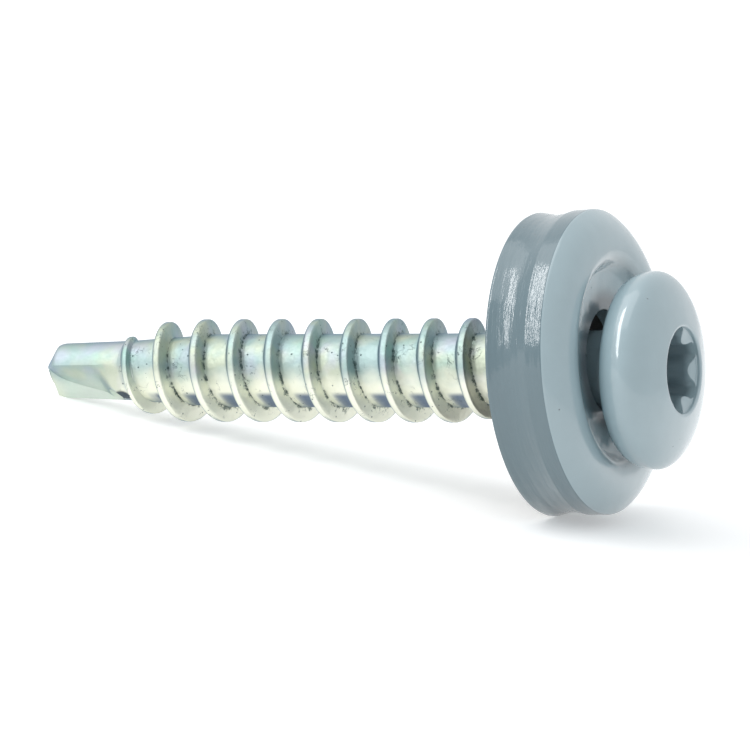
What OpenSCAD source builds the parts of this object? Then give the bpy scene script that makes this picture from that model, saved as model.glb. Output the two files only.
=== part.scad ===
// Self-drilling screw with a painted dome head and a bonded sealing washer.
// Every section below is drawn along the screw's own axis, +Z, with the tip of the
// drill point at zero, and lie_down() then lays the whole screw on the ground.

/* [Drill point] */
// Length from the tip to the start of the thread
drill_l = 5.0; // [4.8:0.1:6]
// Diameter across the lands just behind the cutting lips
drill_d = 2.95; // [2.7:0.05:3.1]
// Diameter of the drill point where the thread starts
drill_back_d = 3.2; // [3.1:0.05:3.6]
// Angle between the two cutting lips
point_angle = 115; // [100:5:130]
// Radial cut that breaks the sharp outer corner of each lip
lip_corner = 0.17; // [0.05:0.01:0.3]
// Length of that cut along the screw
lip_corner_l = 0.6; // [0.3:0.05:0.8]
// Thickness of the web between the two flutes
web_t = 0.6; // [0.5:0.05:0.9]
// Distance by which each flute reaches past the axis
flute_past = 0.25; // [0.1:0.05:0.4]
// Angle at which the bottom of each flute climbs out of the drill point
flute_climb = 23.5; // [20:0.5:28]
// Angle between the cutting face and the other wall of a flute
flute_angle = 127; // [110:1:135]
// Turn of the cutting face away from the plane through the axis
flute_turn = 11.5; // [0:0.5:20]
// Radius of the scoop that ends each flute
scoop_r = 0.68; // [0.5:0.02:0.75]
// Distance from the axis to the scoop's centre
scoop_out = 1.8; // [1.7:0.05:2.0]
// Distance from the tip to the scoop's centre
scoop_at = 4.28; // [3.9:0.02:4.3]

/* [Thread] */
// Diameter over the crests
thread_d = 5.5; // [5.45:0.05:5.9]
// Diameter of the core between the turns
core_d = 3.9; // [3.6:0.05:4.1]
// Distance from one turn to the next
pitch = 2.24; // [1.8:0.02:2.6]
// Length over which the thread rises to its full height
thread_lead = 4.2; // [3:0.1:6]
// Part of that length that the blunt start of the thread leaves out
thread_blunt = 0.2; // [0.1:0.05:0.5]
// Length over which the thread sinks back into the neck
thread_runout = 1.1; // [0.6:0.1:2]
// Length over which the core widens to its full diameter
core_taper = 5.5; // [3:0.1:8]
// Length of the gentle flank that faces the tip
lead_flank = 0.52; // [0.3:0.02:0.7]
// Width of the flat on the crest
crest_w = 0.26; // [0.1:0.02:0.4]
// Length of the steep flank that faces the head
back_flank = 0.15; // [0.1:0.01:0.3]

/* [Neck and head] */
// Length of bare neck between the last of the thread and the seal
bare_neck = 2.35; // [2.1:0.05:6]
// Diameter of the plain neck inside the washer
neck_d = 4.2; // [4.1:0.05:4.4]
// Distance from the tip to the flat under the head
head_at = 34.45; // [34.3:0.05:40]
// Diameter of the flat under the head
head_flat_d = 8.6; // [7:0.1:9]
// Diameter of the head at its widest
head_d = 10.28; // [9.6:0.02:11]
// Height from the flat under the head to its widest place
head_edge_h = 1.38; // [1.0:0.02:1.6]
// Height of the dome above the widest place
dome_h = 1.73; // [1.4:0.01:2.2]
// Height of the cone that joins the neck to the head
collar_h = 0.6; // [0.3:0.05:0.8]
// Diameter of that cone where it meets the head
collar_d = 6.0; // [5:0.1:7]

/* [Drive recess] */
// Size across the points of the six lobes
lobe_d = 4.5; // [4.3:0.05:4.6]
// Size across the flutes between the lobes
lobe_in_d = 3.26; // [3.1:0.02:3.4]
// Radius of the tip of each lobe
lobe_tip_r = 0.38; // [0.3:0.01:0.45]
// Diameter of the round sink at the recess's mouth
sink_d = 4.68; // [4.6:0.02:5.2]
// Diameter at the bottom of the sink
sink_in_d = 3.1; // [2.6:0.05:3.2]
// Depth of the sink
sink_depth = 0.75; // [0.3:0.05:1]
// Depth of the recess below its rim
recess_depth = 2.1; // [1.6:0.05:2.4]
// Depth of the cone at the bottom of the recess
recess_cone = 0.5; // [0.3:0.05:0.8]

/* [Washer disc] */
// Diameter at the rim
washer_d = 15.9; // [15:0.1:18]
// Gap between the flat under the head and the floor of the washer's dish
head_gap = 1.4; // [1.35:0.05:2.4]
// Diameter of the ring along the top of the dome
ridge_d = 11.64; // [11:0.1:12.2]
// Height of that ring above the rim's edge
ridge_h = 1.07; // [0.8:0.01:1.1]
// Radius of the bend on the inner side of the ring
ridge_bend_r = 0.9; // [0.7:0.05:1.0]
// Slope of the dish inside the ring
dish_slope = 50; // [40:1:60]
// Height of the dish's floor above the rim's edge
dish_h = 0.25; // [0.1:0.01:0.35]
// Thickness of the sheet
sheet_t = 1.0; // [0.8:0.05:1.1]
// Depth of the rim below its sharp edge
rim_depth = 0.9; // [0.7:0.05:1.1]
// Diameter of the hole, under that of the thread so that the washer stays on
hole_d = 5.4; // [5.35:0.01:5.42]
// Lean of the washer on the neck
washer_lean = 2.6; // [0:0.1:2.8]
// Sideways shift of the washer on the neck
washer_shift = 0.38; // [0:0.01:0.4]

/* [Seal] */
// Height of the seal below the rim's sharp edge
seal_h = 3.15; // [2.6:0.05:3.2]
// Step from the rim in to the seal's lower edge
seal_in = 0.02; // [0:0.01:0.5]
// Depth of the waist around the seal's side
seal_waist = 0.16; // [0:0.01:0.3]
// Rounding of the seal's lower edge
seal_edge = 0.1; // [0.05:0.01:0.2]

/* [Lying on the ground] */
// Turn of the screw about its own axis as it lies
lie_turn = 85; // [80:1:90]
// Steps in one turn of the thread
thread_steps = 30; // [24:2:36]

/* [Hidden] */
$fn = 96;
zinc = [0.74, 0.78, 0.77];
paint = [0.55, 0.62, 0.64];
painted_rubber = [0.50, 0.57, 0.59];
// Steps in each curve of a turned outline, and round the two cones of the drill point
curve_steps = 16;
cone_steps = 32;
// How far the thread's solid reaches into the neck
bite = 0.3;
// How far the thread's core stays under the surface of the drill point
core_step = 0.02;
// Step and gap from the last of the thread's core to the neck
neck_step = 0.05;
neck_gap = 0.15;
// Least width of a turn where the thread begins, as a share of its full width
least_width = 0.45;

// Lobes of the recess, and steps in half of each of its curves
lobes = 6;
lobe_steps = 6;

// Turn of the thread, the flutes and the recess about the screw's axis
thread_turn = 90;
recess_turn = 90;
scoop_turn = 247;
// Distance from the tip to the crest at thread_turn, within one pitch
crest_phase = 0.73;

// Length of the wedges that cut the flutes
cut_l = 2 * (drill_l + drill_d);

// Places along the screw that follow from the sizes above
washer_at = head_at - head_gap - dish_h;
thread_end = washer_at - seal_h - bare_neck;
drill_r = drill_d / 2;
back_r = drill_back_d / 2;
core_r = core_d / 2;
crest_r = thread_d / 2;
neck_from = thread_end + neck_gap;
head_r = head_d / 2;
widest_at = head_at + head_edge_h;
washer_r = washer_d / 2;
ridge_r = ridge_d / 2;
seal_r = washer_r - seal_in;
// The washer leans and shifts about the middle of its thickness
washer_mid = washer_at - seal_h / 2;
// Radius of the washer's dome, which runs level at the ring
dome_r = (pow(washer_r - ridge_r, 2) + pow(ridge_h, 2)) / (2 * ridge_h);
rim_slope = asin((washer_r - ridge_r) / dome_r);

// How the screw comes to lie: on the outer corner of the drill point and the seal's edge
corner_t = 2 * lip_corner_l;
edge_t = washer_at - seal_h + seal_edge;
edge_off = edge_t - washer_mid;
edge_side = (washer_shift + edge_off * sin(washer_lean)) * sin(lie_turn);
edge_mid_t = washer_mid + edge_off * cos(washer_lean);

// Part of the ring's radius that reaches down when the axis slopes by this angle
function ring_share(slope) =
    cos(asin(cos(slope) * sin(lie_turn) * sin(washer_lean) + sin(slope) * cos(washer_lean)));

// Slope of the axis at which the corner and the seal's edge are level, found by repetition
function level_slope(slope, times) =
    times < 1 ? slope :
    level_slope(
        atan((seal_r * ring_share(slope) / cos(slope) - edge_side - drill_r) / (edge_mid_t - corner_t)),
        times - 1);

first_slope = 12;
slope_rounds = 8;
rest_slope = level_slope(first_slope, slope_rounds);
rest_lift = drill_r * cos(rest_slope) - corner_t * sin(rest_slope);

// Half the length of the lying screw, and how far its washer stands to one side
dome_reach = sqrt(pow(head_r * sin(rest_slope), 2) + pow(dome_h * cos(rest_slope), 2));
tip_reach = (web_t / 2 * cos(lie_turn) + flute_past * sin(lie_turn)) * sin(rest_slope);
half_x = (widest_at * cos(rest_slope) + dome_reach - tip_reach) / 2;
side_share = cos(asin(sin(washer_lean) * cos(lie_turn)));
rim_side = (washer_shift + (washer_at - washer_mid) * sin(washer_lean)) * cos(lie_turn);
seal_side = (washer_shift + edge_off * sin(washer_lean)) * cos(lie_turn);
mid_y = (rim_side + washer_r * side_share + min(rim_side - washer_r * side_share,
    seal_side - seal_r * side_share)) / 2;

// Lays what is drawn along +Z on the ground, head end up and toward +X
module lie_down() {
    translate([-half_x, -mid_y, rest_lift])
        rotate([0, 90 - rest_slope, 0])
            rotate([0, 0, lie_turn])
                children();
}

// Puts what is drawn about the screw's axis on the washer's own leaning axis
module lean_on_neck() {
    translate([0, washer_shift, washer_mid])
        rotate([-washer_lean, 0, 0])
            translate([0, 0, -washer_mid])
                children();
}

function clamp01(x) = min(max(x, 0), 1);
function ease_out(x) = 1 - pow(1 - clamp01(x), 2);

// Core radius at a distance from the tip
function core_at(t) = back_r + (core_r - back_r) * clamp01((t - drill_l) / core_taper);

// Share of the full height that the thread has where its crest is at t
function rise_at(t) =
    t < drill_l ? 0 :
    ease_out((t - drill_l + thread_blunt) / thread_lead) * clamp01((thread_end - t) / thread_runout);

// One turn's section: distance from the crest's middle and share of the thread's height
half_crest = crest_w / 2;
turn_section = [
    [-half_crest - lead_flank, 0],
    [-half_crest - lead_flank * 0.75, 0.22],
    [-half_crest - lead_flank * 0.5, 0.58],
    [-half_crest - lead_flank * 0.25, 0.88],
    [-half_crest, 1],
    [half_crest, 1],
    [half_crest + back_flank * 0.5, 0.8],
    [half_crest + back_flank, 0]
];
section_n = len(turn_section);
// The thread's solid reaches a little into the drill point and into the neck
solid_from = drill_l - core_step;
solid_to = neck_from + bite;
spare_turns = 2;
turns = ceil((solid_to - solid_from) / pitch) + 2 * spare_turns;
first_turn = floor((solid_from - crest_phase) / pitch) - spare_turns;
grid_n = turns * section_n;

// Grid of the thread: step s round the screw, row k along it; rows of one turn run on into the next
function crest_t(s, k) = crest_phase + pitch * (s / thread_steps + first_turn + floor(k / section_n));
function slimness(s, k) = least_width + (1 - least_width) * rise_at(crest_t(s, k));
function grid_t(s, k) = crest_t(s, k) + turn_section[k % section_n][0] * slimness(s, k);
function grid_r(s, k) =
    let (t = grid_t(s, k), c = core_at(t) - core_step)
    c + (crest_r - c) * turn_section[k % section_n][1] * rise_at(crest_t(s, k));
function step_angle(s) = thread_turn + 360 * s / thread_steps;
function at_angle(r, a, t) = [r * cos(a), r * sin(a), t];

// Rows past either end close onto that end's ring
near_ring = 0.03;
function grid_id(s, k) =
    s == thread_steps ? grid_id(0, k + section_n) :
    grid_t(s, k) <= solid_from + near_ring ? s :
    grid_t(s, k) >= solid_to - near_ring ? thread_steps + s :
    2 * thread_steps + s * grid_n + k;
function whole(f) = f[0] != f[1] && f[1] != f[2] && f[2] != f[0];

// Threaded shank, as one helical surface that closes on a ring at each end
module thread() {
    ends = [
        for (t = [solid_from, solid_to])
            for (s = [0 : thread_steps - 1])
                at_angle(core_at(t) - core_step, step_angle(s), t)
    ];
    rows = [
        for (s = [0 : thread_steps - 1])
            for (k = [0 : grid_n - 1])
                at_angle(
                    grid_r(s, k),
                    step_angle(s),
                    min(max(grid_t(s, k), solid_from), solid_to))
    ];
    sides = [
        for (s = [0 : thread_steps - 1])
            for (k = [0 : grid_n - section_n - 2])
                let (
                    a = grid_id(s, k),
                    b = grid_id(s, k + 1),
                    c = grid_id(s + 1, k + 1),
                    d = grid_id(s + 1, k))
                for (f = [[a, b, c], [a, c, d]])
                    if (whole(f)) f
    ];
    caps = [
        [for (s = [0 : thread_steps - 1]) s],
        [for (s = [thread_steps - 1 : -1 : 0]) thread_steps + s]
    ];
    polyhedron(points = concat(ends, rows), faces = concat(sides, caps), convexity = 10);
}

// Two conical lips joined by the short chisel edge across the web
module point_cone() {
    reach = drill_d;
    cone_h = reach / tan(point_angle / 2);
    hull()
        for (side = [0, 180])
            rotate([0, 0, side])
                translate([-web_t / 2, flute_past, 0])
                    cylinder(h = cone_h, r1 = 0, r2 = reach, $fn = cone_steps);
    translate([0, 0, cone_h - core_step])
        cylinder(h = drill_l, r = reach);
}

// Wedge that cuts one flute, with its sharp edge climbing out toward the thread
module flute() {
    wall = flute_angle - 90;
    rotate([0, 0, flute_turn])
        translate([-web_t / 2, flute_past, 0])
            rotate([flute_climb, 0, 0])
                translate([0, 0, -cut_l / 2])
                    linear_extrude(cut_l)
                        polygon([[0, 0], [0, -cut_l], [-cut_l, -cut_l], [-cut_l, cut_l * tan(wall)]]);
}

// Scoop that the flute runs out in
module scoop() {
    rotate([0, 0, scoop_turn])
        translate([scoop_out, 0, scoop_at])
            sphere(r = scoop_r);
}

module drill_point() {
    difference() {
        intersection() {
            rotate_extrude()
                polygon([
                    [0, -drill_l],
                    [drill_r - lip_corner, -drill_l],
                    [drill_r - lip_corner, lip_corner_l],
                    [drill_r, corner_t],
                    [back_r, drill_l],
                    [0, drill_l]
                ]);
            point_cone();
        }
        for (side = [0, 180])
            rotate([0, 0, side]) {
                flute();
                scoop();
            }
    }
}

// Half outline of the neck and head, from the axis outward and back to it
module head_outline() {
    flat_r = head_flat_d / 2;
    edge_w = head_r - flat_r;
    under = [
        for (i = [0 : curve_steps])
            let (a = 90 * i / curve_steps)
            [flat_r + edge_w * sin(a), widest_at - head_edge_h * cos(a)]
    ];
    dome = [
        for (i = [1 : curve_steps])
            let (a = 90 * i / curve_steps)
            [head_r * cos(a), widest_at + dome_h * sin(a)]
    ];
    polygon(concat(
        [
            [0, neck_from],
            [core_r + neck_step, neck_from],
            [neck_d / 2, neck_from + bite],
            [neck_d / 2, head_at - collar_h],
            [collar_d / 2, head_at]
        ],
        under, dome));
}

// Outline of the six-lobed recess: round lobes joined by round hollows that meet them smoothly
module lobes_outline() {
    half_lobe = 180 / lobes;
    out = lobe_d / 2 - lobe_tip_r;
    in_r = lobe_in_d / 2;
    hollow_r = (out * out + in_r * in_r - 2 * out * in_r * cos(half_lobe) - pow(lobe_tip_r, 2))
        / (2 * (lobe_tip_r + out * cos(half_lobe) - in_r));
    hollow_out = in_r + hollow_r;
    // Direction in which a lobe's centre sees the next hollow's centre
    meet = atan2(hollow_out * sin(half_lobe), hollow_out * cos(half_lobe) - out);
    polygon([
        for (k = [0 : lobes - 1])
            for (p = concat(
                [for (i = [-lobe_steps : lobe_steps])
                    let (a = meet * i / lobe_steps)
                    [out + lobe_tip_r * cos(a), lobe_tip_r * sin(a)]],
                [for (i = [1 : 2 * lobe_steps - 1])
                    let (
                        half = meet - half_lobe,
                        a = 180 + half_lobe + half * (1 - i / lobe_steps))
                    [
                        hollow_out * cos(half_lobe) + hollow_r * cos(a),
                        hollow_out * sin(half_lobe) + hollow_r * sin(a)
                    ]]))
            let (turn = 2 * half_lobe * k)
            [
                p[0] * cos(turn) - p[1] * sin(turn),
                p[0] * sin(turn) + p[1] * cos(turn)
            ]
    ]);
}

module recess() {
    rim_t = widest_at + dome_h * sqrt(1 - pow(sink_d / head_d, 2));
    floor_t = rim_t - recess_depth;
    sink_slope = (sink_d - sink_in_d) / 2 / sink_depth;
    rotate([0, 0, recess_turn]) {
        translate([0, 0, floor_t])
            linear_extrude(recess_depth + dome_h)
                lobes_outline();
        translate([0, 0, floor_t - recess_cone])
            cylinder(h = recess_cone + core_step, r1 = 0, r2 = lobe_in_d / 2 - core_step);
        translate([0, 0, rim_t - sink_depth])
            cylinder(
                h = sink_depth + dome_h,
                r1 = sink_in_d / 2,
                r2 = sink_in_d / 2 + sink_slope * (sink_depth + dome_h));
    }
}

module screw() {
    color(zinc)
        lie_down() {
            drill_point();
            thread();
            difference() {
                rotate_extrude()
                    head_outline();
                recess();
            }
        }
}

// Centres of the two bends in the disc, and the places where the inner slope begins and ends
bend_mid = ridge_h - ridge_bend_r;
dome_mid = ridge_h - dome_r;
slope_r = ridge_r - ridge_bend_r * sin(dish_slope);
slope_h = bend_mid + ridge_bend_r * cos(dish_slope);
floor_r = slope_r - (slope_h - dish_h) / tan(dish_slope);

// Outline of the pressed disc, measured up and down from the sharp edge of its rim
module disc_outline() {
    under_r = dome_r - sheet_t;
    outer = [
        for (i = [0 : curve_steps])
            let (a = rim_slope * (1 - i / curve_steps))
            [ridge_r + dome_r * sin(a), dome_mid + dome_r * cos(a)]
    ];
    inner = [
        for (i = [1 : curve_steps / 2])
            let (a = dish_slope * 2 * i / curve_steps)
            [ridge_r - ridge_bend_r * sin(a), bend_mid + ridge_bend_r * cos(a)]
    ];
    below = [
        for (i = [0 : curve_steps / 2])
            let (a = rim_slope * 2 * i / curve_steps)
            [ridge_r + under_r * sin(a), dome_mid + under_r * cos(a)]
    ];
    foot_r = ridge_r + under_r * sin(rim_slope);
    polygon(concat(
        outer, inner,
        [[floor_r, dish_h], [hole_d / 2, dish_h], [hole_d / 2, dish_h - sheet_t], [floor_r, dish_h - sheet_t]],
        below,
        [[foot_r, -rim_depth], [washer_r, -rim_depth]]));
}

module washer() {
    color(paint)
        lie_down()
            lean_on_neck()
                translate([0, 0, washer_at])
                    rotate_extrude()
                        disc_outline();
}

// Outline of the seal: it fills the disc from below and has a slight waist round its side
module seal_outline() {
    side_h = seal_h - seal_edge - rim_depth;
    side = [
        for (i = [0 : curve_steps])
            let (share = i / curve_steps)
            [
                seal_r + (washer_r - seal_r) * share - seal_waist * sin(180 * share),
                -seal_h + seal_edge + side_h * share
            ]
    ];
    difference() {
        polygon(concat(
            [[hole_d / 2, dish_h - sheet_t / 2], [hole_d / 2, -seal_h], [seal_r - seal_edge, -seal_h]],
            side,
            [[ridge_r, ridge_h - sheet_t / 2], [floor_r, dish_h - sheet_t / 2]]));
        disc_outline();
    }
}

module seal() {
    color(painted_rubber)
        lie_down()
            lean_on_neck()
                translate([0, 0, washer_at])
                    rotate_extrude()
                        seal_outline();
}

screw();
washer();
seal();
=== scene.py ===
import math

import bmesh
import bpy
from mathutils import Matrix, Vector


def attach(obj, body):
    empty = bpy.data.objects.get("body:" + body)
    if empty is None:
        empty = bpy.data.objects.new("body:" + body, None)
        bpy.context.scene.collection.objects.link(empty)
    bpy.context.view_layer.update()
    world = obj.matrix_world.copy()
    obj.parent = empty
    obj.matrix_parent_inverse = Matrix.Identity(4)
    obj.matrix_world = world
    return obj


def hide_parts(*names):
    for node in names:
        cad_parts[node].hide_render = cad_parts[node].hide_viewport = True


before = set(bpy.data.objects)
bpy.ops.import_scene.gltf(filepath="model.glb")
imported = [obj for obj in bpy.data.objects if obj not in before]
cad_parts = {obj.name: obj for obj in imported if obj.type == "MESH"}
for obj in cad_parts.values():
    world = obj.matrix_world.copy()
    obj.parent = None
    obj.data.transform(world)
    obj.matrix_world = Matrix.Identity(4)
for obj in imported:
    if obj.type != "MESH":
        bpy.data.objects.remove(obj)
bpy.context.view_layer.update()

# Shank: one steel piece with the head, forged, pinched to a drill point and thread-rolled,
# then zinc-plated. Everything is drawn in mm along the screw's own axis, +Z toward the head,
# and then laid on the ground with LAY, as the CAD source does.
SLOPE, TURN = 11.981, 85.0
HALF_LENGTH, MID_SIDE, LIFT = 18.4965, 0.0393, 1.1938
LAY = (
    Matrix.Scale(0.001, 4)
    @ Matrix.Translation((-HALF_LENGTH, -MID_SIDE, LIFT))
    @ Matrix.Rotation(math.radians(90 - SLOPE), 4, "Y")
    @ Matrix.Rotation(math.radians(TURN), 4, "Z")
)

PITCH, CREST_R, CORE_R, BACK_R, NECK_R = 2.24, 2.75, 1.95, 1.6, 2.1
TIP_AT, DRILL_LENGTH, THREAD_END, NECK_END = 0.15, 4.85, 27.3, 34.1
FIRST_CREST, START_TURN, TURNS, STEPS, SECTION_POINTS = 2.97, 0.25, 15, 80, 40

# One rib across: mm from the middle of its crest, toward the head, and share of its full height
RIB = [
    (-0.65, 0), (-0.52, 0.215), (-0.39, 0.574), (-0.26, 0.881),
    (-0.13, 1), (0.13, 1), (0.205, 0.81), (0.28, 0),
]
RIB_FROM, RIB_SPAN, NARROWEST = -0.7, 1.05, 0.45

# How far past the thread's start the rib steps up and rises, and how long it takes to sink at its end
RISE_FROM, RISE_TO, STEP_FROM, STEP_TO, SINK_LENGTH = -0.2, 4.0, -0.06, 0.02, 1.1
# The core thickens behind the drill, is tucked into it by a little, and passes into the neck
CORE_GROWTH, TUCK_LENGTH, TUCK_DEPTH, NECK_FROM, NECK_TO = 5.5, 0.05, 0.02, 0.1, 0.5
LUMP_SCALE, LUMP_MIDDLE, WELD = 0.9, 0.55, 0.003


def add(tree, kind, ins=None, **props):
    """A new node with its inputs set or linked."""
    node = tree.nodes.new(kind)
    for key, value in props.items():
        setattr(node, key, value)
    for key, value in (ins or {}).items():
        if isinstance(value, bpy.types.NodeSocket):
            tree.links.new(value, node.inputs[key])
        else:
            node.inputs[key].default_value = value
    return node


def calc(tree, operation, a, b=0.0, c=0.0, clamp=False):
    return add(tree, "ShaderNodeMath", {0: a, 1: b, 2: c}, operation=operation, use_clamp=clamp).outputs[0]


def product(tree, first, *others):
    for other in others:
        first = calc(tree, "MULTIPLY", first, other)
    return first


def split(tree, vector):
    """A vector's X, Y and Z."""
    return add(tree, "ShaderNodeSeparateXYZ", {0: vector}).outputs


def joined(tree, x, y=0.0, z=0.0):
    return add(tree, "ShaderNodeCombineXYZ", {0: x, 1: y, 2: z}).outputs[0]


def vector_calc(tree, operation, a, b):
    return add(tree, "ShaderNodeVectorMath", {0: a, 1: b}, operation=operation).outputs[0]


def ramp(tree, value, lo, hi, to_lo=0.0, to_hi=1.0, kind="LINEAR"):
    """The value's way from lo to hi, spread over to_lo to to_hi and held there."""
    ins = {"Value": value, "From Min": lo, "From Max": hi, "To Min": to_lo, "To Max": to_hi}
    return add(tree, "ShaderNodeMapRange", ins, interpolation_type=kind).outputs[0]


def curve(tree, value, points, kind="AUTO"):
    """A float curve through points, all within 0 to 1."""
    node = add(tree, "ShaderNodeFloatCurve", {"Value": value})
    line = node.mapping.curves[0]
    while len(line.points) < len(points):
        line.points.new(0.5, 0.5)
    for spot, (x, y) in zip(line.points, points):
        spot.location = (x, y)
        spot.handle_type = kind
    node.mapping.update()
    return node.outputs[0]


def noise(tree, where, scale, detail=2.0, roughness=0.5):
    ins = {"Vector": where, "Scale": scale, "Detail": detail, "Roughness": roughness}
    return add(tree, "ShaderNodeTexNoise", ins).outputs["Fac"]


def apply_tree(name, tree, inputs):
    """Runs a geometry node tree once and gives back the plain mesh it makes."""
    holder = bpy.data.objects.new(name + "_holder", bpy.data.meshes.new(name + "_empty"))
    bpy.context.scene.collection.objects.link(holder)
    modifier = holder.modifiers.new("build", "NODES")
    modifier.node_group = tree
    for item in tree.interface.items_tree:
        if item.in_out == "INPUT" and item.name in inputs:
            modifier[item.identifier] = inputs[item.name]
    holder.update_tag()
    bpy.context.view_layer.update()
    shown = holder.evaluated_get(bpy.context.evaluated_depsgraph_get())
    mesh = bpy.data.meshes.new_from_object(shown)
    mesh.name = name
    holder.modifiers.remove(modifier)
    bpy.data.objects.remove(holder)
    return mesh


# The tree that builds thread and neck, with named inputs for its main sizes
helix = bpy.data.node_groups.new("helix_shank", "GeometryNodeTree")
helix.interface.new_socket("Geometry", in_out="OUTPUT", socket_type="NodeSocketGeometry")
HELIX_INPUTS = {
    "NodeSocketFloat": (
        "Pitch", "Crest radius", "Core radius", "Back radius", "Neck radius", "First crest",
        "Thread start", "Thread end", "Neck end", "Unevenness",
    ),
    "NodeSocketInt": ("Turns", "Steps", "Section points", "Seed"),
    "NodeSocketMaterial": ("Material",),
}
for kind, labels in HELIX_INPUTS.items():
    for label in labels:
        helix.interface.new_socket(label, in_out="INPUT", socket_type=kind)
given = helix.nodes.new("NodeGroupInput").outputs

# A flat grid to be wound up: X counts the turns, Y goes across one pitch, with most points on the rib
columns = calc(helix, "MULTIPLY_ADD", given["Turns"], given["Steps"], 1.0)
grid = add(helix, "GeometryNodeMeshGrid", {
    "Size X": given["Turns"], "Size Y": 1.0, "Vertices X": columns, "Vertices Y": given["Section points"]})
place = split(helix, add(helix, "GeometryNodeInputPosition").outputs[0])
turn = calc(helix, "MULTIPLY_ADD", given["Turns"], 0.5, place["X"])
share = calc(helix, "ADD", place["Y"], 0.5)
spread = curve(helix, share, [(0, 0), (0.15, 0.2), (0.5, 0.44), (0.85, 0.64), (1, 1)], "VECTOR")
off_crest = product(helix, calc(helix, "SUBTRACT", spread, 0.5), given["Pitch"])
crest_at = calc(helix, "MULTIPLY_ADD", turn, given["Pitch"], given["First crest"])

# The rib's height, which fades in behind the drill and out at the neck
started = calc(helix, "SUBTRACT", crest_at, given["Thread start"])
to_rise = calc(helix, "SUBTRACT", 1.0, ramp(helix, started, RISE_FROM, RISE_TO))
rising = calc(helix, "SUBTRACT", 1.0, calc(helix, "POWER", to_rise, 2.0))
left = calc(helix, "SUBTRACT", given["Thread end"], crest_at)
rising = product(helix, rising, ramp(helix, started, STEP_FROM, STEP_TO), ramp(helix, left, 0.0, SINK_LENGTH))
width = calc(helix, "MULTIPLY_ADD", rising, 1 - NARROWEST, NARROWEST)
on_rib = ramp(helix, calc(helix, "DIVIDE", off_crest, width), RIB_FROM, RIB_FROM + RIB_SPAN)
rib_curve = [(0, 0)] + [((x - RIB_FROM) / RIB_SPAN, y) for x, y in RIB] + [(1, 0)]
height = calc(helix, "MULTIPLY", curve(helix, on_rib, rib_curve), rising, clamp=True)

# The core under it, from the drill's back to the neck
along = calc(helix, "ADD", crest_at, off_crest)
along = calc(helix, "MAXIMUM", along, calc(helix, "SUBTRACT", given["Thread start"], TUCK_LENGTH))
along = calc(helix, "MINIMUM", along, given["Neck end"])
past_start = calc(helix, "SUBTRACT", along, given["Thread start"])
past_end = calc(helix, "SUBTRACT", along, given["Thread end"])
growth = calc(helix, "SUBTRACT", given["Core radius"], given["Back radius"])
core = calc(helix, "MULTIPLY_ADD", ramp(helix, past_start, 0.0, CORE_GROWTH), growth, given["Back radius"])
core = calc(helix, "ADD", core, ramp(helix, past_start, -TUCK_LENGTH, 0.0, -TUCK_DEPTH, 0.0))
growth = calc(helix, "SUBTRACT", given["Neck radius"], given["Core radius"])
core = calc(helix, "MULTIPLY_ADD", ramp(helix, past_end, NECK_FROM, NECK_TO, kind="SMOOTHSTEP"), growth, core)
radius = calc(helix, "MULTIPLY_ADD", calc(helix, "SUBTRACT", given["Crest radius"], core), height, core)
angle = product(helix, calc(helix, "ADD", turn, START_TURN), 2 * math.pi)
ahead = calc(helix, "COSINE", angle)
aside = calc(helix, "SINE", angle)


def wound(r):
    """The grid's points wound round the axis at radius r."""
    return joined(helix, product(helix, r, ahead), product(helix, r, aside), along)


seeded = vector_calc(helix, "ADD", wound(radius), joined(helix, given["Seed"]))
lumps = calc(helix, "SUBTRACT", noise(helix, seeded, LUMP_SCALE), LUMP_MIDDLE)
radius = calc(helix, "ADD", radius, product(helix, lumps, given["Unevenness"]))

# Masks for the material across one pitch, from 0 on its tip side to 1 on its head side, with the
# crest at 0.5: the rib's two feet and the bare core. They are kept while the grid is still flat.
MASKS = {
    "head_foot": [(0, 0), (0.575, 0), (0.605, 0.5), (0.628, 1), (0.65, 0.35), (0.71, 0), (1, 0)],
    "tip_foot": [(0, 0), (0.15, 0), (0.24, 0.8), (0.32, 1), (0.40, 0.75), (0.46, 0.1), (0.5, 0), (1, 0)],
    "low_core": [(0, 1), (0.18, 1), (0.26, 0), (0.70, 0), (0.86, 0.8), (1, 1)],
}
on_pitch = ramp(helix, off_crest, -PITCH / 2, PITCH / 2)
masked = grid.outputs["Mesh"]
for label, points in MASKS.items():
    mask = product(helix, curve(helix, on_pitch, points), rising)
    masked = add(
        helix, "GeometryNodeStoreNamedAttribute", {"Geometry": masked, "Name": label, "Value": mask},
        data_type="FLOAT", domain="POINT").outputs[0]
shaped = add(helix, "GeometryNodeSetPosition", {"Geometry": masked, "Position": wound(radius)})
welded = add(helix, "GeometryNodeMergeByDistance", {"Geometry": shaped.outputs[0], "Distance": WELD})
real = add(helix, "GeometryNodeRealizeInstances", {"Geometry": welded.outputs[0]})
plated = add(helix, "GeometryNodeSetMaterial", {"Geometry": real.outputs[0], "Material": given["Material"]})
helix.links.new(plated.outputs[0], helix.nodes.new("NodeGroupOutput").inputs[0])


def new_material(name):
    """A material, its node tree and the inputs of its shader."""
    material = bpy.data.materials.new(name)
    material.use_nodes = True
    tree = material.node_tree
    return material, tree, tree.nodes["Principled BSDF"].inputs


def new_group(name, inputs):
    """A shader group that puts out a mask: its tree, its inputs and the mask's socket."""
    group = bpy.data.node_groups.new(name, "ShaderNodeTree")
    group.interface.new_socket("Vector", in_out="INPUT", socket_type="NodeSocketVector")
    for label in inputs:
        group.interface.new_socket(label, in_out="INPUT", socket_type="NodeSocketFloat")
    group.interface.new_socket("Mask", in_out="OUTPUT", socket_type="NodeSocketFloat")
    return group, group.nodes.new("NodeGroupInput").outputs, group.nodes.new("NodeGroupOutput").inputs["Mask"]


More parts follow.
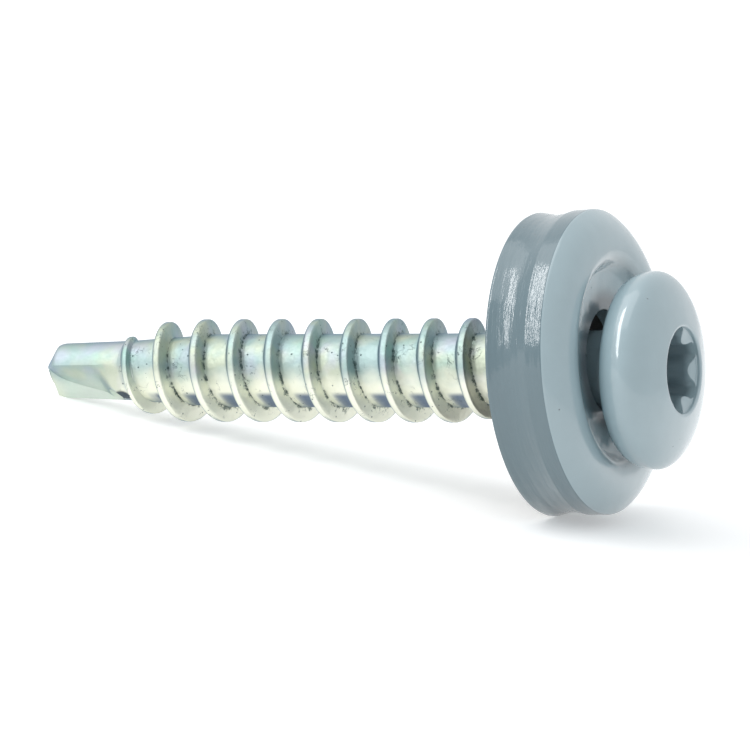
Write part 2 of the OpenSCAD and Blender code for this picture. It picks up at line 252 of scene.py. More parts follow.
def use(tree, group, ins):
    """The mask that a group puts out with these inputs."""
    return add(tree, "ShaderNodeGroup", ins, node_tree=group).outputs["Mask"]


def kept(tree, name, output="Fac"):
    return add(tree, "ShaderNodeAttribute", attribute_name=name).outputs[output]


def stretch(tree, where, factors, shift=(0, 0, 0)):
    ins = {"Vector": where, "Scale": factors, "Location": shift}
    return add(tree, "ShaderNodeMapping", ins).outputs[0]


def shifted(tree, where, shift):
    return stretch(tree, where, (1, 1, 1), shift)


def length(tree, vector):
    return add(tree, "ShaderNodeVectorMath", {0: vector}, operation="LENGTH").outputs["Value"]


def patches(tree, where, scale, lo, hi, most=1.0):
    """A mask of soft patches: 0 where the noise is under lo, most where it is over hi."""
    return ramp(tree, noise(tree, where, scale), lo, hi, 0.0, most)


def tint(tree, share, a, b):
    """Colour a turned toward colour b by share."""
    node = add(tree, "ShaderNodeMix", {"Factor": share}, data_type="RGBA")
    for key, value in (("A", a), ("B", b)):
        socket = [i for i in node.inputs if i.name == key and i.type == "RGBA"][0]
        if isinstance(value, bpy.types.NodeSocket):
            tree.links.new(value, socket)
        else:
            socket.default_value = (*value, 1)
    return [o for o in node.outputs if o.type == "RGBA"][0]


def bump(tree, relief):
    """Normal from a height in mm."""
    return add(tree, "ShaderNodeBump", {"Height": relief, "Strength": 1.0, "Distance": 0.001}).outputs[0]


# Specks: small round pits, each in its own cell, thinned out by chance and gathered in patches
specks, sg, speck_mask = new_group("specks", ["Scale", "Size", "Amount"])
cells = add(specks, "ShaderNodeTexVoronoi", {"Vector": sg["Vector"], "Scale": sg["Scale"]})
near_spot = ramp(specks, calc(specks, "DIVIDE", cells.outputs["Distance"], sg["Size"]), 0.6, 1.0, 1.0, 0.0)
chance = add(specks, "ShaderNodeSeparateColor", {"Color": cells.outputs["Color"]}).outputs[0]
crowding = ramp(specks, noise(specks, sg["Vector"], 0.7), 0.35, 0.7, 0.1, 1.6)
chosen = calc(specks, "LESS_THAN", chance, product(specks, sg["Amount"], crowding))
specks.links.new(product(specks, near_spot, chosen), speck_mask)

# Hairlines: thin wandering lines where a noise crosses its middle, in patches
hairs, hg, hair_mask = new_group("hairlines", ["Scale", "Width", "Amount"])
wander = noise(hairs, hg["Vector"], hg["Scale"], 3.0, 0.55)
line_at = calc(hairs, "ABSOLUTE", calc(hairs, "SUBTRACT", wander, 0.5))
thin = calc(hairs, "SUBTRACT", 1.0, calc(hairs, "DIVIDE", line_at, hg["Width"]), clamp=True)
where_lines = ramp(hairs, calc(hairs, "ADD", noise(hairs, hg["Vector"], 1.1, 1.0), hg["Amount"]), 1.0, 1.1)
hairs.links.new(product(hairs, thin, where_lines), hair_mask)

# Zinc plating: dull grey-green metal, blotched, with a painted pale reflection of the floor on its lower side
# and painted shade where it turns away
GREY_GREEN = (0.38, 0.49, 0.48)
PALE = (0.52, 0.57, 0.46)
LILAC = (0.49, 0.50, 0.60)
TEAL = (0.35, 0.52, 0.46)
SHADE_BLUE = (0.15, 0.25, 0.34)
FLOOR_REFLECTION_CREAM = (0.97, 0.97, 0.83)
DARK_REFLECTION_NAVY = (0.05, 0.11, 0.22)
MARK_DARK = (0.10, 0.15, 0.16)
ROOT_SHADE_DARK = (0.08, 0.13, 0.12)
POCKET_SHADE_DARK = (0.035, 0.06, 0.09)
ROUGH_FROM, ROUGH_FULL, DRILL_RELIEF = 4.9, 5.4, 0.12
POCKET_AT, POCKET_SHAPE = (-0.86, -1.30, 5.08), (2.6, 2.6, 2.1)

zinc, zt, zinc_shader = new_material("zinc_plating")
spot_mm = kept(zt, "local", "Vector")
upward, from_tip = split(zt, spot_mm)[1:]
head_foot, tip_foot, low_core = [kept(zt, name) for name in MASKS]
on_thread = ramp(zt, from_tip, ROUGH_FROM, ROUGH_FULL)
facing = add(zt, "ShaderNodeLayerWeight", {"Blend": 0.35}).outputs["Facing"]

# Its blotches, and on the lower side a painted cream reflection of the floor, fainter on the drill point
colour = tint(zt, patches(zt, spot_mm, 0.42, 0.42, 0.6), GREY_GREEN, PALE)
colour = tint(zt, patches(zt, shifted(zt, spot_mm, (7, 3, 1)), 0.55, 0.5, 0.68, 0.6), colour, LILAC)
colour = tint(zt, patches(zt, shifted(zt, spot_mm, (1, 9, 4)), 0.6, 0.52, 0.7, 0.7), colour, TEAL)
edge_wander = product(zt, noise(zt, shifted(zt, spot_mm, (2, 8, 5)), 0.8), 1.2)
painted_floor_reflection = ramp(zt, calc(zt, "ADD", upward, edge_wander), 1.0, -0.5, 0.0, 0.9, "SMOOTHSTEP")
painted_floor_reflection = product(zt, painted_floor_reflection, ramp(zt, on_thread, 0.0, 1.0, 0.45, 1.0))
colour = tint(zt, painted_floor_reflection, colour, FLOOR_REFLECTION_CREAM)

# Painted shade at the rib's foot on the tip's side and where the surface turns away from the view, and a
# painted dark reflection low down on the core
colour = tint(zt, product(zt, tip_foot, 0.6), colour, SHADE_BLUE)
colour = tint(zt, ramp(zt, facing, 0.42, 0.85, 0.0, 0.9), colour, SHADE_BLUE)
painted_low_reflection = ramp(zt, upward, -1.1, -1.4, kind="SMOOTHSTEP")
colour = tint(zt, product(zt, low_core, painted_low_reflection, 0.85), colour, DARK_REFLECTION_NAVY)

# Pits and hairlines on the thread, and painted shade with a ragged edge in the crease at the foot on the
# head's side of a rib, which the relief below also sinks a little
grain = noise(zt, spot_mm, 7.0, 4.0, 0.65)
root_shade_wander = calc(zt, "MULTIPLY_ADD", head_foot, 0.35, noise(zt, spot_mm, 2.6, 4.0, 0.7))
ragged_root_shade = product(zt, ramp(zt, root_shade_wander, 0.78, 0.9), ramp(zt, head_foot, 0.12, 0.5))
pits = use(zt, specks, {"Vector": spot_mm, "Scale": 3.4, "Size": 0.2, "Amount": 0.32})
hair_place = shifted(zt, spot_mm, (4.3, 2.1, 7.7))
hairlines = use(zt, hairs, {"Vector": hair_place, "Scale": 1.9, "Width": 0.012, "Amount": 0.44})
marks = product(zt, calc(zt, "MAXIMUM", pits, hairlines), on_thread)
colour = tint(zt, product(zt, marks, 0.75), colour, MARK_DARK)
colour = tint(zt, product(zt, ragged_root_shade, 0.8), colour, ROOT_SHADE_DARK)

# Painted shade: a dark patch for the hollow where a flute runs out against the thread, which the relief below
# also sinks
off_pocket = length(zt, stretch(zt, vector_calc(zt, "SUBTRACT", spot_mm, POCKET_AT), POCKET_SHAPE))
off_pocket = calc(zt, "MULTIPLY_ADD", grain, 0.25, off_pocket)
pocket = ramp(zt, off_pocket, 0.85, 1.2, 1.0, 0.0, "SMOOTHSTEP")
colour = tint(zt, product(zt, pocket, 0.92), colour, POCKET_SHADE_DARK)

# Relief in mm, far shallower on the drill point
relief = product(zt, noise(zt, spot_mm, 1.6, 3.0), 0.05)
relief = calc(zt, "MULTIPLY_ADD", grain, 0.010, relief)
relief = product(zt, relief, ramp(zt, from_tip, ROUGH_FROM, ROUGH_FULL, DRILL_RELIEF, 1.0))
for hollow, depth in ((marks, 0.02), (ragged_root_shade, 0.03), (pocket, 0.25)):
    relief = calc(zt, "MULTIPLY_ADD", hollow, -depth, relief)
zt.links.new(colour, zinc_shader["Base Color"])
zinc_shader["Metallic"].default_value = 1.0
dull = calc(zt, "MULTIPLY_ADD", marks, 0.15, ramp(zt, grain, 0.3, 0.7, 0.46, 0.58))
zt.links.new(dull, zinc_shader["Roughness"])
zt.links.new(bump(zt, relief), zinc_shader["Normal"])

thread_mesh = apply_tree("thread", helix, {
    "Pitch": PITCH, "Crest radius": CREST_R, "Core radius": CORE_R, "Back radius": BACK_R,
    "Neck radius": NECK_R, "First crest": FIRST_CREST, "Thread start": TIP_AT + DRILL_LENGTH,
    "Thread end": THREAD_END, "Neck end": NECK_END, "Turns": TURNS, "Steps": STEPS,
    "Section points": SECTION_POINTS, "Unevenness": 0.02, "Seed": 3, "Material": zinc})

# Drill point: lofted through cross-sections of land, flute wall and cutting face, twice round
LAND_R, LIP_CUT, LIP_CUT_FROM, LIP_CUT_TO, LIP_SLOPE = 1.475, 0.14, 0.45, 1.05, 0.33
LAND_FROM, TIP_SPREAD, WALL_LEAST = 1.0, 3, 3
WEB, CHISEL_SIDE, FLUTE_TURN, WALL_EDGE, WALL_BULGE = 0.3, 0.25, 11.5, 157.5, 0.05
CREASE_DROP, CREASE_BEND, CREASE_SLOPE = 0.53, 0.52, 0.24
FLANK_LIFT, FLANK_SLOPE, FLANK_TURN = 0.32, 0.8, 20
SCOOP_R, SCOOP_OUT, SCOOP_AT, SCOOP_TURN = 0.68, 1.8, 4.13, 247 - FLUTE_TURN
WALL_FADE, FACE_FADE, FLUTE_END = 3.2, 4.0, 4.75
BACK_TUCK, BACK_TUCK_LENGTH = 0.12, 0.2
LAND_N, WALL_N, FACE_N = 30, 44, 16


def smooth(x, lo, hi):
    x = min(max((x - lo) / (hi - lo), 0), 1)
    return x * x * (3 - 2 * x)


def on_circle(degrees, r):
    return Vector((math.cos(math.radians(degrees)), math.sin(math.radians(degrees)))) * r


def degrees_of(p):
    return math.degrees(math.atan2(p.y, p.x)) % 360


def near_chisel(degrees, t):
    """Radius within which the tip stays close to its short chisel edge."""
    chisel, reach = math.hypot(WEB, CHISEL_SIDE), TIP_SPREAD * t
    d = math.radians(degrees) - math.atan2(CHISEL_SIDE, -WEB)
    c, s = abs(math.cos(d)), abs(math.sin(d))
    if c * reach <= s * chisel:
        return reach / s
    return chisel * c + math.sqrt(max(reach * reach - (chisel * s) ** 2, 0))


def scooped(radius, degrees, t):
    """Radius left where the round scoop at the flute's end has been cut."""
    d = math.radians(degrees - SCOOP_TURN)
    left = SCOOP_R**2 - (t - SCOOP_AT) ** 2 - (SCOOP_OUT * math.sin(d)) ** 2
    if left <= 0 or math.cos(d) < 0:
        return radius
    return min(radius, SCOOP_OUT * math.cos(d) - math.sqrt(left))


def land_radius(t):
    """Radius of the land: chamfered at the lips, widening to the back and tucked into the thread's core."""
    if t > DRILL_LENGTH:
        return BACK_R - BACK_TUCK * (t - DRILL_LENGTH) / BACK_TUCK_LENGTH
    land = LAND_R - LIP_CUT * (1 - smooth(t, LIP_CUT_FROM, LIP_CUT_TO))
    return land + (BACK_R - LAND_R) * max(t - LAND_FROM, 0) / (DRILL_LENGTH - LAND_FROM)


def drill_ring(t):
    """The cross-section at t mm behind the tip."""
    land = land_radius(t)
    lip = Vector((-WEB, max(-math.sqrt(land * land - WEB * WEB), CHISEL_SIDE - t / LIP_SLOPE)))
    crease_y = CHISEL_SIDE - CREASE_DROP * (1 - math.exp(-t / CREASE_BEND)) - CREASE_SLOPE * t
    crease = Vector((-WEB, max(crease_y, lip.y + 0.01)))
    lip_angle, crease_angle = degrees_of(lip), degrees_of(crease)
    edge_angle = min(WALL_EDGE, crease_angle - WALL_LEAST)

    def flank(degrees):
        """Radius of the point's relieved flank, which falls away behind the lip, or of the land."""
        away = smooth(degrees - (lip_angle - 180), 0, FLANK_TURN)
        r = lip.length * (1 - away) + (t + FLANK_LIFT) / FLANK_SLOPE * away
        return min(r, land, max(near_chisel(degrees, t), lip.length * (1 - away)))

    wall_fade, face_fade = smooth(t, WALL_FADE, FLUTE_END), smooth(t, FACE_FADE, FLUTE_END)
    half = []
    for i in range(LAND_N):
        a = lip_angle - 180 + (edge_angle + 180 - lip_angle) * i / LAND_N
        half.append(on_circle(a, flank(a)))
    wall_top = on_circle(edge_angle, flank(edge_angle))
    bulge = (crease - wall_top).orthogonal().normalized() * WALL_BULGE * min(t, 1)
    for i in range(WALL_N):
        q = i / WALL_N
        cut = wall_top.lerp(crease, q) + bulge * math.sin(math.pi * q)
        half.append(cut.lerp(on_circle(edge_angle + (lip_angle - edge_angle) * q, land), wall_fade))
    for i in range(FACE_N):
        q = i / FACE_N
        uncut = on_circle(crease_angle + (lip_angle - crease_angle) * q, land)
        half.append(crease.lerp(lip, q).lerp(uncut, face_fade))
    turned = []
    for p in half + [-p for p in half]:
        a = degrees_of(p)
        r = scooped(scooped(p.length, a, t), a - 180, t)
        turned.append((*on_circle(a + FLUTE_TURN, r), TIP_AT + t))
    return turned


def from_rows(name, rows, closed_rows=False):
    """A closed surface through rings of points, each counterclockwise seen from above, lowest ring first."""
    mesh = bmesh.new()
    rings = [[mesh.verts.new(p) for p in row] for row in rows]
    n = len(rows[0])
    pairs = list(zip(rings, rings[1:]))
    if closed_rows:
        pairs.append((rings[-1], rings[0]))
    for low, high in pairs:
        for i in range(n):
            j = (i + 1) % n
            mesh.faces.new((low[i], low[j], high[j], high[i]))
    if not closed_rows:
        mesh.faces.new(list(reversed(rings[0])))
        mesh.faces.new(rings[-1])
    bmesh.ops.remove_doubles(mesh, verts=mesh.verts, dist=0.0015)
    made = bpy.data.meshes.new(name)
    mesh.to_mesh(made)
    mesh.free()
    return made


# Cross-sections lie close together at the point and where the scoop is cut
POINT_TOP, POINT_STEP, BODY_STEP, SCOOP_FROM, SCOOP_STEP = 0.0005, 0.025, 0.1, 3.225, 0.03
levels = [POINT_TOP] + [POINT_STEP * i for i in range(1, 26)]
levels += [levels[-1] + BODY_STEP * i for i in range(1, 27)]
levels += [SCOOP_FROM + SCOOP_STEP * i for i in range(1, 60)]
drill_mesh = from_rows("drill", [drill_ring(t) for t in levels])

both = bmesh.new()
both.from_mesh(thread_mesh)
both.from_mesh(drill_mesh)
shank_mesh = bpy.data.meshes.new("shank")
both.to_mesh(shank_mesh)
both.free()

# Grey paint: a thick glossy coat on the head, the neck and the washer, which are painted together
PAINT_GREY, SHADED_SIDE_GREY = (0.34, 0.45, 0.49), (0.095, 0.165, 0.195)
DISH_REFLECTION_BLUE, SHADE_GREY = (0.22, 0.44, 0.52), (0.08, 0.12, 0.145)
PINHOLE_DARK, LIGHTER = (0.05, 0.07, 0.08), 1.09
DEEP_FROM, DEEP_FULL, DEEP_R = 36.95, 36.6, 2.35
WASHER_TOP, WASHER_TOP_REACH = 1.05, 0.95
DISH_EDGE, COVERED_EDGE = (4.7, 5.3), (3.1, 4.1)
NECK_PAINTED = 30.0


def paint_material(name, grey, rippled):
    """Thick paint: a smooth coat with an uneven flow, pinholes and, where rippled, sags round the side."""
    material, t, shader = new_material(name)
    spot = kept(t, "local", "Vector")
    height_at = split(t, spot)[2]
    off_axis = length(t, stretch(t, spot, (1, 1, 0)))
    relief = product(t, noise(t, spot, 0.55, 1.0), 0.035)
    relief = calc(t, "MULTIPLY_ADD", noise(t, spot, 2.4), 0.004, relief)
    holes = use(t, specks, {"Vector": spot, "Scale": 1.7, "Size": 0.09, "Amount": 0.12})
    relief = calc(t, "MULTIPLY_ADD", holes, -0.02, relief)
    if rippled:
        rings = noise(t, stretch(t, spot, (0.12, 0.12, 1.7)), 1.0, 3.0, 0.6)
        wrinkles = noise(t, stretch(t, spot, (0.6, 0.6, 1.6), (3, 1, 5)), 1.8, 4.0, 0.68)
        relief = calc(t, "MULTIPLY_ADD", rings, 0.055, relief)
        relief = calc(t, "MULTIPLY_ADD", wrinkles, 0.022, relief)
    cloudy = ramp(t, noise(t, spot, 0.8, 3.0), 0.3, 0.7, 0.0, 0.5)
    colour = tint(t, cloudy, grey, tuple(v * LIGHTER for v in grey))
    colour = tint(t, product(t, holes, 0.6), colour, PINHOLE_DARK)
    # Painted shade deep in the recess and on the neck
    deep_shade = ramp(t, height_at, DEEP_FROM, DEEP_FULL, 0.0, 0.6)
    colour = tint(t, product(t, deep_shade, calc(t, "LESS_THAN", off_axis, DEEP_R)), colour, SHADE_GREY)
    # A painted bluish reflection in the washer's dish, and painted shade where the head covers it
    on_washer = calc(t, "COMPARE", height_at, WASHER_TOP, WASHER_TOP_REACH)
    for (inner, outer), most, shade in ((DISH_EDGE, 0.8, DISH_REFLECTION_BLUE), (COVERED_EDGE, 0.95, SHADE_GREY)):
        within = ramp(t, off_axis, inner, outer, most, 0.0, "SMOOTHSTEP")
        colour = tint(t, product(t, within, on_washer), colour, shade)
    t.links.new(colour, shader["Base Color"])
    shader["Roughness"].default_value = 0.32
    shader["Coat Weight"].default_value = 1.0
    shader["Coat Roughness"].default_value = 0.09
    shader["Coat IOR"].default_value = 1.7
    normal = bump(t, relief)
    t.links.new(normal, shader["Normal"])
    t.links.new(normal, shader["Coat Normal"])
    return material


def remember_local(mesh):
    """Keeps each point's place in mm in the piece's own frame, for the materials."""
    local = mesh.attributes.new("local", "FLOAT_VECTOR", "POINT")
    for point, vertex in zip(local.data, mesh.vertices):
        point.vector = vertex.co


def show(name, mesh, place, body, node, materials, sharp=None, second=None):
    """Puts a mesh drawn in mm in place and has it ride on its body instead of the CAD node;
    second says whether the face at a point has the second material."""
    remember_local(mesh)
    picked = [face.index for face in mesh.polygons if second and second(face.center)]
    mesh.transform(place)
    mesh.materials.clear()
    for material in materials:
        mesh.materials.append(material)
    for index in picked:
        mesh.polygons[index].material_index = 1
    mesh.shade_smooth()
    if sharp:
        mesh.set_sharp_from_angle(angle=math.radians(sharp))
    piece = bpy.data.objects.new(name, mesh)
    bpy.context.scene.collection.objects.link(piece)
    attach(piece, body)
    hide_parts(node)


def on_painted_neck(p):
    return p.z > NECK_PAINTED


paint = paint_material("grey_paint", PAINT_GREY, False)
show("shank", shank_mesh, LAY, "screw", "screw", [zinc, paint], sharp=38, second=on_painted_neck)

# Head: forged on the shank, a low dome with a rolled edge and a six-lobed recess, painted
# glossy grey together with the washer, so its edges are soft and the recess is coated too.
HEAD_AT, FLAT_FROM, FLAT_R, HEAD_R, EDGE_H, DOME_H = 34.45, 3.05, 4.3, 5.14, 1.38, 1.73
COLLAR_H, COLLAR_SPREAD, COLLAR_STEPS, FLAT_RISE, FLAT_STEPS = 0.6, 0.9, 6, 0.03, 5
TUCK_IN, TUCK_DOWN = 0.1, 0.15
LOBE_OUT, LOBE_IN, LOBE_R, RECESS_DEPTH = 2.25, 1.63, 0.38, 2.1
SINK_R, LEDGE_FROM, LEDGE_DEPTH, LEDGE_BEND, MOUTH_IN, MOUTH_TAPER = 2.34, 0.19, 0.28, 1.4, 0.015, 0.01
LOBE_SPREAD, SPREAD_FROM, SPREAD_TO = 7, 0.3, 1.0
RIM_SOFT, RIM_IN, RIM_DOWN, RIM_STEPS, DOME_STEPS, HEAD_STEPS = 0.13, 0.07, 0.05, 8, 28, 240
WIDEST = HEAD_AT + EDGE_H
ANGLES = [2 * math.pi * (i + 0.5) / HEAD_STEPS for i in range(HEAD_STEPS)]
# The recess's floor: share of the wall's radius, and height over the recess's depth
FLOOR_CONE = [(0.97, 0.09), (0.92, 0.03), (0.6, -0.17), (0.3, -0.33), (0.02, -0.45)]


def lobe_radius(angle, widened):
    """Distance from the axis to the recess wall, with a lobe at angle 0; widened spreads each lobe
    by so many degrees."""
    out = LOBE_OUT - LOBE_R
    c30 = math.cos(math.radians(30))
    hollow = out * out + LOBE_IN**2 - 2 * out * LOBE_IN * c30 - LOBE_R**2
    hollow /= 2 * (LOBE_R + out * c30 - LOBE_IN)
    a = abs((math.degrees(angle) + 30) % 60 - 30)
    a = math.radians(max(a - widened, 0) * 30 / (30 - widened))
    away = LOBE_IN + hollow
    meet = math.atan2(away / 2, away * c30 - out)
    join = math.atan2(LOBE_R * math.sin(meet), out + LOBE_R * math.cos(meet))
    if a < join:
        return out * math.cos(a) + math.sqrt(LOBE_R**2 - (out * math.sin(a)) ** 2)
    b = math.radians(30) - a
    return away * math.cos(b) - math.sqrt(hollow * hollow - (away * math.sin(b)) ** 2)


def row(radii, h):
    return [(r * math.cos(a), r * math.sin(a), h) for r, a in zip(radii, ANGLES)]


def round_row(r, h):
    return row([r] * HEAD_STEPS, h)


def under_rows():
    """Collar cone, flat underside and rolled edge, starting inside the neck."""
    collar_at = HEAD_AT - COLLAR_H
    rows = [round_row(NECK_R - TUCK_IN, collar_at - TUCK_DOWN), round_row(NECK_R, collar_at)]
    for i in range(1, COLLAR_STEPS):
        q = i / COLLAR_STEPS
        rows.append(round_row(NECK_R + COLLAR_SPREAD * q, collar_at + COLLAR_H * q))
    for i in range(FLAT_STEPS):
        q = i / FLAT_STEPS
        rows.append(round_row(FLAT_FROM + (FLAT_R - FLAT_FROM) * q, HEAD_AT + FLAT_RISE * q))
    for degrees in range(4, 90, 5):
        a = math.radians(degrees)
        rows.append(round_row(FLAT_R + (HEAD_R - FLAT_R) * math.sin(a), WIDEST - EDGE_H * math.cos(a)))
    return rows


def dome(r):
    return WIDEST + DOME_H * math.sqrt(max(1 - (r / HEAD_R) ** 2, 0))


def dome_rows(low):
    """The dome up to the recess and its soft round rim, as thick paint leaves it, down to low."""
    top = Vector((SINK_R + RIM_SOFT, dome(SINK_R + RIM_SOFT)))
    corner = Vector((SINK_R, dome(SINK_R)))
    rows = []
    for i in range(DOME_STEPS + 1):
        a = math.acos(top.x / HEAD_R) * i / DOME_STEPS
        rows.append(round_row(HEAD_R * math.cos(a), WIDEST + DOME_H * math.sin(a)))
    for i in range(1, RIM_STEPS + 1):
        v = i / RIM_STEPS
        rows.append(round_row(*(top * (1 - v) ** 2 + corner * 2 * v * (1 - v) + low * v * v)))
    return rows


def recess_rows(low):
    """The recess: a short round wall, below which the ridges begin as shallow ledges, while the
    lobes, widened at the mouth, drop at once. Levels lie closest on the ledges."""
    depths = [0.05, 0.10, 0.15]
    depths += [LEDGE_FROM + 0.02 * i for i in range(16)]
    depths += [0.56, 0.65, 0.76, 0.95, 1.3, 1.7, RECESS_DEPTH - 0.15]
    rows = []
    for depth in depths:
        down = min(max((depth - LEDGE_FROM) / LEDGE_DEPTH, 0), 1)
        mouth = low.x - MOUTH_IN - MOUTH_TAPER * depth
        ledge = mouth - (mouth - LOBE_IN) * (1 - (1 - down) ** LEDGE_BEND)
        widened = LOBE_SPREAD * (1 - smooth(depth, SPREAD_FROM, SPREAD_TO))
        radii = [min(mouth, max(lobe_radius(a - math.pi / 2, widened), ledge)) for a in ANGLES]
        rows.append(row(radii, low.y - depth))
    for share_in, rise in FLOOR_CONE:
        rows.append(row([r * share_in for r in radii], low.y - RECESS_DEPTH + rise))
    return rows


rim_low = Vector((SINK_R - RIM_IN, dome(SINK_R) - RIM_DOWN))
head_mesh = from_rows("head", under_rows() + dome_rows(rim_low) + recess_rows(rim_low))
show("head", head_mesh, LAY, "screw", "screw", [paint])

# Washer: pressed steel disc with a domed ring and a dish under the head, painted glossy grey.
# It is held loosely on the neck, so it leans and sits a little to one side.
LEAN, SHIFT, WASHER_AT, SEAL_H = 2.6, 0.38, 32.8, 3.15
WASHER_MID = WASHER_AT - SEAL_H / 2
HANG = (
    LAY
    @ Matrix.Translation((0, SHIFT, WASHER_MID))
    @ Matrix.Rotation(math.radians(-LEAN), 4, "X")
    @ Matrix.Translation((0, 0, WASHER_AT - WASHER_MID))
)
WASHER_R, RIDGE_R, RIDGE_H, BEND_R, DISH_SLOPE, DISH_H = 7.95, 5.82, 1.07, 0.9, 50.0, 0.25
SHEET, RIM_DEPTH, HOLE_R, HOLE_SOFT, DISH_FLAT, DISH_SOFT = 1.0, 0.9, 2.7, 0.05, 0.1, 0.06
RIM_SHARE, RIM_BAND, RIM_TOP = 0.985, 0.03, -0.01
BEND_STEPS, DOME_ARC_STEPS, BACK_STEPS, WASHER_STEPS = 10, 28, 6, 288
# The rim's corner: mm inward from the edge and down
RIM_CORNER = [(0.012, 0.012), (0, 0.045), (0, 0.1), (0, RIM_DEPTH)]
DOME_R = ((WASHER_R - RIDGE_R) ** 2 + RIDGE_H**2) / (2 * RIDGE_H)
RIM_SLOPE = math.asin((WASHER_R - RIDGE_R) / DOME_R)


def lathe(name, outline, steps):
    """A ring turned from a closed outline of (radius, height), counterclockwise in that plane."""
    turns = [2 * math.pi * i / steps for i in range(steps)]
    rows = [[(r * math.cos(a), r * math.sin(a), h) for a in turns] for r, h in outline]
    return from_rows(name, rows, closed_rows=True)


def arc(cx, cy, r, start, end, count, first=0):
    """Points on an arc from the first on; angles in radians from straight up, growing outward."""
    angles = [start + (end - start) * i / count for i in range(first, count + 1)]
    return [(cx + r * math.sin(a), cy + r * math.cos(a)) for a in angles]


def disc_outline():
    slope = math.radians(DISH_SLOPE)
    bend = arc(RIDGE_R, RIDGE_H - BEND_R, BEND_R, -slope, 0, BEND_STEPS)
    floor_r = bend[0][0] - (bend[0][1] - DISH_H) / math.tan(slope)
    top = [(HOLE_R, DISH_H - HOLE_SOFT), (HOLE_R + HOLE_SOFT, DISH_H)]
    top += [(floor_r - DISH_FLAT, DISH_H), (floor_r + DISH_SOFT, DISH_H + DISH_SOFT)]
    top += bend + arc(RIDGE_R, RIDGE_H - DOME_R, DOME_R, 0, RIM_SLOPE * RIM_SHARE, DOME_ARC_STEPS, first=1)
    rim = [(WASHER_R - inward, -down) for inward, down in RIM_CORNER]
    back = arc(RIDGE_R, RIDGE_H - DOME_R, DOME_R - SHEET, RIM_SLOPE, 0, BACK_STEPS)
    inner = [(back[0][0], -RIM_DEPTH)] + back + [(floor_r, DISH_H - SHEET), (HOLE_R, DISH_H - SHEET)]
    return top + rim + inner


def on_rim(p):
    return p.xy.length > WASHER_R - RIM_BAND and p.z < RIM_TOP


# Painted shade: the washer's rim and the seal's side take a darker copy of the grey paint
shaded_side_paint = paint_material("shaded_side_paint", SHADED_SIDE_GREY, True)
washer_mesh = lathe("washer", list(reversed(disc_outline())), WASHER_STEPS)
show("washer", washer_mesh, HANG, "washer", "washer", [paint, shaded_side_paint], sharp=40, second=on_rim)

# Seal: EPDM ring vulcanised to the disc's underside. The paint runs over its side, and its
# underside is bare rubber, dusty in patches.
SEAL_R, WAIST, SEAL_EDGE, SEAL_CORNER, SIDE_STEPS = 7.93, 0.16, 0.1, 0.03, 24
UNDER_R, FILL_R, FILL_AT, PAINTED_BAND, UNDER_BAND = 5.0, 7.2, -0.5, 0.3, 0.02
RUBBER_BLACK, RUBBER_DUST = (0.022, 0.023, 0.025), (0.06, 0.06, 0.058)

rubber, rt, rubber_shader = new_material("bare_rubber")
rubber_spot = kept(rt, "local", "Vector")
dust = noise(rt, rubber_spot, 1.1, 4.0, 0.6)
dusty = tint(rt, ramp(rt, dust, 0.45, 0.75), RUBBER_BLACK, RUBBER_DUST)
rt.links.new(dusty, rubber_shader["Base Color"])
rt.links.new(ramp(rt, dust, 0.3, 0.7, 0.5, 0.72), rubber_shader["Roughness"])
rt.links.new(bump(rt, product(rt, noise(rt, rubber_spot, 6.0, 3.0), 0.012)), rubber_shader["Normal"])


def seal_outline():
    outline = [(HOLE_R, DISH_H - SHEET), (HOLE_R, -SEAL_H), (UNDER_R, -SEAL_H), (SEAL_R - SEAL_EDGE, -SEAL_H)]
    outline.append((SEAL_R - SEAL_CORNER, -SEAL_H + SEAL_CORNER))
    for i in range(SIDE_STEPS + 1):
        q = i / SIDE_STEPS
        r = SEAL_R + (WASHER_R - SEAL_R) * q - WAIST * math.sin(math.pi * q)
        outline.append((r, -SEAL_H + SEAL_EDGE + (SEAL_H - SEAL_EDGE - RIM_DEPTH) * q))
    return outline + [(FILL_R, -RIM_DEPTH), (RIDGE_R, FILL_AT)]


def unpainted(p):
    return p.xy.length < SEAL_R - PAINTED_BAND or p.z < -SEAL_H + UNDER_BAND


seal_mesh = lathe("seal", seal_outline(), WASHER_STEPS)
# The seal's side takes the darker painted-shade copy of the grey paint; its underside is bare rubber
show("seal", seal_mesh, HANG, "washer", "seal", [shaded_side_paint, rubber], sharp=40, second=unpainted)

# Camera: long lens, turned about its line of sight so that the screw lies level in the image.
VIEW_ANGLE, MIDDLE_T, DISTANCE, DROP, LENS = 25.6, 19.66, 312.0, 0.2406, 283.2
turned = LAY.to_3x3() * 1000
near, up, axis = turned @ Vector((-1, 0, 0)), turned @ Vector((0, 1, 0)), turned @ Vector((0, 0, 1))
c, s = math.cos(math.radians(VIEW_ANGLE)), math.sin(math.radians(VIEW_ANGLE))
toward, right = near * c + axis * s, axis * c - near * s
camera_data = bpy.data.cameras.new("camera")
camera_data.lens = LENS
camera_data.clip_start = 0.01
camera_data.clip_end = 10.0
camera = bpy.data.objects.new("camera", camera_data)
bpy.context.scene.collection.objects.link(camera)
camera_at = LAY @ Vector((0, 0, MIDDLE_T)) + (toward * DISTANCE - up * DROP) * 0.001
camera.matrix_world = Matrix.Translation(camera_at) @ Matrix((right, up, toward)).transposed().to_4x4()
bpy.context.scene.camera = camera
bpy.context.scene.view_settings.view_transform = "Standard"

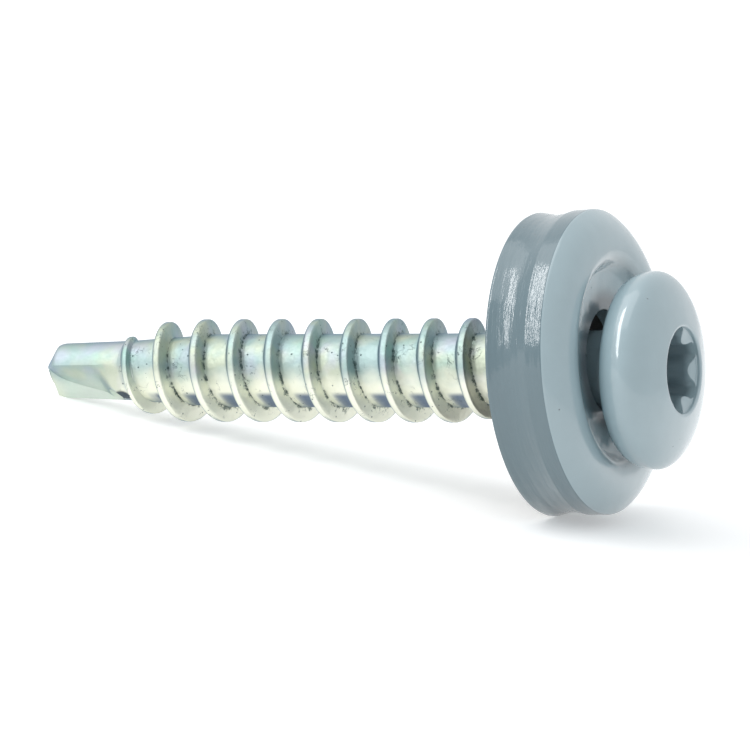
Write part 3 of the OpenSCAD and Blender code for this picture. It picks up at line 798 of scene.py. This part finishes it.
# Ground: a plain pale floor that glows a little for the camera and for reflections, so the
# camera sees it as white round the screw's shadow.
FLOOR_GREY, FLOOR_GLOW, FLOOR_REACH = (0.88, 0.88, 0.88, 1), (0.35, 0.35, 0.35, 1), 2.0
ground_mesh = bpy.data.meshes.new("ground")
ground = bmesh.new()
bmesh.ops.create_grid(ground, x_segments=1, y_segments=1, size=FLOOR_REACH)
ground.to_mesh(ground_mesh)
ground.free()
pale, floor_tree, floor_shader = new_material("pale_floor")
floor_shader["Base Color"].default_value = FLOOR_GREY
floor_shader["Roughness"].default_value = 0.9
floor_shader["Specular IOR Level"].default_value = 0.1
floor_shader["Emission Color"].default_value = FLOOR_GLOW
path = add(floor_tree, "ShaderNodeLightPath").outputs
glow = calc(floor_tree, "MAXIMUM", path["Is Camera Ray"], path["Is Glossy Ray"])
floor_tree.links.new(glow, floor_shader["Emission Strength"])
ground_mesh.materials.append(pale)
floor = bpy.data.objects.new("ground", ground_mesh)
bpy.context.scene.collection.objects.link(floor)

# Light: a bright, even, pale room, a wide softbox overhead and a long narrow one high on the
# camera's side, toward the tip.
ROOM_COLOUR, ROOM_STRENGTH, ROOM_REFLECTED, ROOM_SEEN = (0.95, 0.98, 1.0, 1), 0.68, 0.2, 0.42
AIM_AT = Vector((0.004, 0, 0.006))
world = bpy.data.worlds.new("studio")
bpy.context.scene.world = world
world.use_nodes = True
room = world.node_tree
background = room.nodes["Background"].inputs
background["Color"].default_value = ROOM_COLOUR
path = add(room, "ShaderNodeLightPath").outputs
reflected = calc(room, "MULTIPLY_ADD", path["Is Glossy Ray"], ROOM_REFLECTED, ROOM_STRENGTH)
seen = calc(room, "MULTIPLY_ADD", path["Is Camera Ray"], ROOM_SEEN, reflected)
room.links.new(seen, background["Strength"])


def lamp(name, way, tall_way, distance, size, radiance):
    """A soft area lamp aimed at the screw; way and tall_way are in parts toward the camera's side,
    up and along the axis to the head; distance and size are in metres."""
    data = bpy.data.lights.new(name, "AREA")
    data.shape = "RECTANGLE"
    data.size, data.size_y = size
    data.energy = radiance * math.pi * size[0] * size[1]
    obj = bpy.data.objects.new(name, data)
    z = (near * way[0] + up * way[1] + axis * way[2]).normalized()
    y = near * tall_way[0] + up * tall_way[1] + axis * tall_way[2]
    y = (y - z * y.dot(z)).normalized()
    facing_screw = Matrix((y.cross(z), y, z)).transposed().to_4x4()
    obj.matrix_world = Matrix.Translation(AIM_AT + z * distance) @ facing_screw
    bpy.context.scene.collection.objects.link(obj)


lamp("top_softbox", (0.25, 0.95, -0.1), (1, 0, 0), 0.60, (0.8, 0.6), 0.8)
lamp("key_softbox", (0.638, 0.638, -0.432), (-0.7, 0.7, 0), 0.45, (0.06, 0.50), 6.5)
